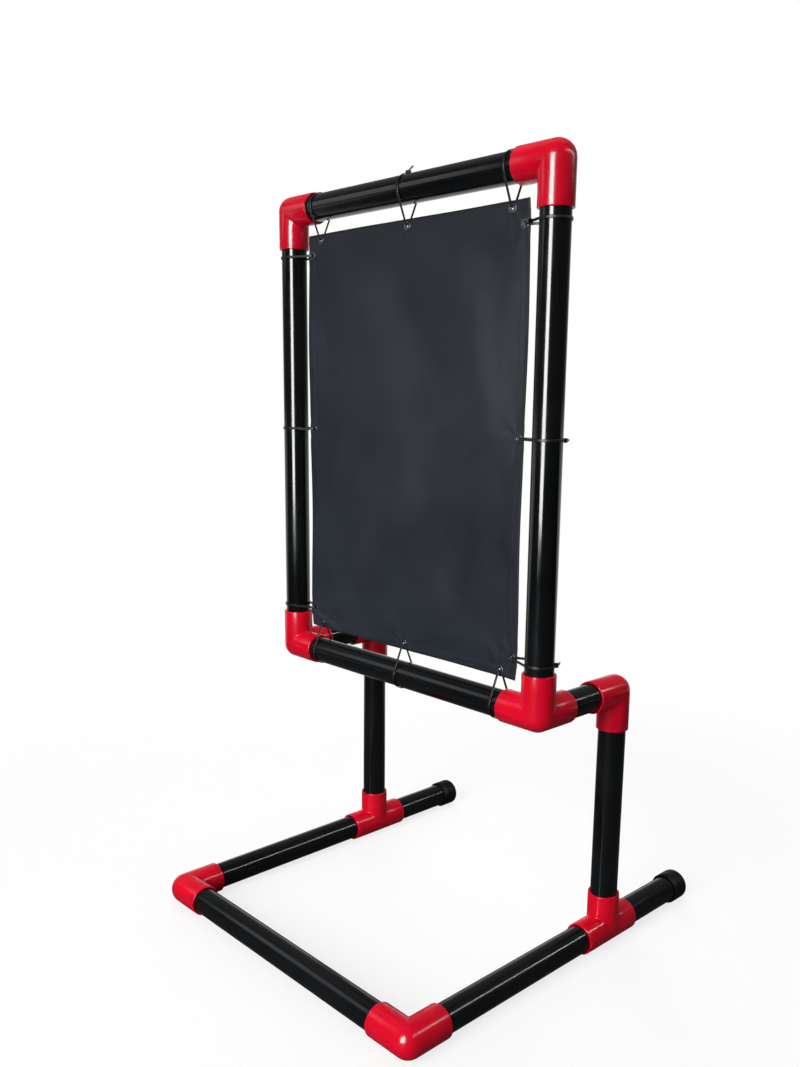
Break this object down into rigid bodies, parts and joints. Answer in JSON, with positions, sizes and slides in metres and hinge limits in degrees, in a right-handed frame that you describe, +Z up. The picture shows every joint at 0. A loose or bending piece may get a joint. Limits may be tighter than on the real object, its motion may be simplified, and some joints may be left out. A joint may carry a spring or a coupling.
{
  "type": "baseball pitching target",
  "caption": "Upright pitching target: a dark sheet tied by loops into a rectangular pipe frame, held above the floor by a stand of black pipes and red moulded fittings.",
  "frame": {"origin": "on the floor, under the middle of the object's bounding box", "axes": "+Z up; the thrower stands in front, at -Y; X runs along the target's width, +X to the thrower's right"},
  "size_m": [0.5728, 0.6308, 1.1226],
  "materials": {
    "black_pipe": "gloss black extruded pipe",
    "red_fitting": "gloss red moulded plastic",
    "black_cap": "satin black moulded plastic",
    "black_sheet": "satin coated charcoal cloth",
    "dark_eyelet": "dark pressed metal",
    "black_tie": "satin black nylon"
  },
  "bodies": {
    "base": {"front_cross_pipe": "black_pipe", "front_elbow_left": "red_fitting", "front_rail_pipe_left": "black_pipe", "floor_tee_left": "red_fitting", "front_elbow_right": "red_fitting", "front_rail_pipe_right": "black_pipe", "floor_tee_right": "red_fitting"},
    "rear_rail_left": {"rear_rail_pipe_left": "black_pipe"},
    "cap_left": {"end_cap_left": "black_cap"},
    "rear_rail_right": {"rear_rail_pipe_right": "black_pipe"},
    "cap_right": {"end_cap_right": "black_cap"},
    "stand": {"leg_pipe_left": "black_pipe", "leg_elbow_left": "red_fitting", "leg_pipe_right": "black_pipe", "leg_elbow_right": "red_fitting"},
    "target_frame": {"frame_pipe_top": "black_pipe", "frame_pipe_bottom": "black_pipe", "frame_pipe_left": "black_pipe", "frame_corner_left": "red_fitting", "frame_elbow_left": "red_fitting", "stub_pipe_left": "black_pipe", "frame_pipe_right": "black_pipe", "frame_corner_right": "red_fitting", "frame_elbow_right": "red_fitting", "stub_pipe_right": "black_pipe"},
    "sheet": {"target_sheet": "black_sheet", "eyelet_top_left": "dark_eyelet", "eyelet_top_mid": "dark_eyelet", "eyelet_top_right": "dark_eyelet", "eyelet_bottom_left": "dark_eyelet", "eyelet_bottom_mid": "dark_eyelet", "eyelet_bottom_right": "dark_eyelet", "eyelet_left_low": "dark_eyelet", "eyelet_left_mid": "dark_eyelet", "eyelet_left_high": "dark_eyelet", "eyelet_right_low": "dark_eyelet", "eyelet_right_mid": "dark_eyelet", "eyelet_right_high": "dark_eyelet"},
    "ties_top": {"tie_top_left": "black_tie", "tie_top_mid": "black_tie", "tie_top_right": "black_tie"},
    "ties_bottom": {"tie_bottom_left": "black_tie", "tie_bottom_mid": "black_tie", "tie_bottom_right": "black_tie"},
    "ties_left": {"tie_left_low": "black_tie", "tie_left_mid": "black_tie", "tie_left_high": "black_tie"},
    "ties_right": {"tie_right_low": "black_tie", "tie_right_mid": "black_tie", "tie_right_high": "black_tie"}
  },
  "joints": [
    {"name": "rear_rail_left_pull", "type": "slide", "parent": "base", "child": "rear_rail_left", "axis": [0, 1, 0], "range_m": [0, 0.034]},
    {"name": "cap_left_pull", "type": "slide", "parent": "rear_rail_left", "child": "cap_left", "axis": [0, 1, 0], "range_m": [0, 0.03]},
    {"name": "rear_rail_right_pull", "type": "slide", "parent": "base", "child": "rear_rail_right", "axis": [0, 1, 0], "range_m": [0, 0.034]},
    {"name": "cap_right_pull", "type": "slide", "parent": "rear_rail_right", "child": "cap_right", "axis": [0, 1, 0], "range_m": [0, 0.03]},
    {"name": "stand_lift", "type": "slide", "parent": "base", "child": "stand", "axis": [0, 0, 1], "range_m": [0, 0.034]},
    {"name": "target_frame_pull", "type": "slide", "parent": "stand", "child": "target_frame", "axis": [0, -1, 0], "range_m": [0, 0.034]},
    {"name": "sheet_push", "type": "slide", "parent": "target_frame", "child": "sheet", "axis": [0, 1, 0], "range_m": [-0.005, 0.005], "stiffness_N_per_m": 600},
    {"name": "ties_top_swing", "type": "hinge", "parent": "target_frame", "child": "ties_top", "pos_m": [0, -0.06095, 1.09141], "axis": [1, 0, 0], "range_deg": [-6.5, 6.5]},
    {"name": "ties_bottom_swing", "type": "hinge", "parent": "target_frame", "child": "ties_bottom", "pos_m": [0, -0.06095, 0.39541], "axis": [-1, 0, 0], "range_deg": [-6.5, 6.5]},
    {"name": "ties_left_swing", "type": "hinge", "parent": "target_frame", "child": "ties_left", "pos_m": [-0.263, -0.06095, 0.74341], "axis": [0, 0, 1], "range_deg": [-6.5, 6.5]},
    {"name": "ties_right_swing", "type": "hinge", "parent": "target_frame", "child": "ties_right", "pos_m": [0.263, -0.06095, 0.74341], "axis": [0, 0, -1], "range_deg": [-6.5, 6.5]}
  ],
  "couplings": [
    {"joint": "ties_top_swing", "follows": "sheet_push", "rad_per_m": 21.505},
    {"joint": "ties_bottom_swing", "follows": "sheet_push", "rad_per_m": 21.505},
    {"joint": "ties_left_swing", "follows": "sheet_push", "rad_per_m": 21.505},
    {"joint": "ties_right_swing", "follows": "sheet_push", "rad_per_m": 21.505}
  ]
}
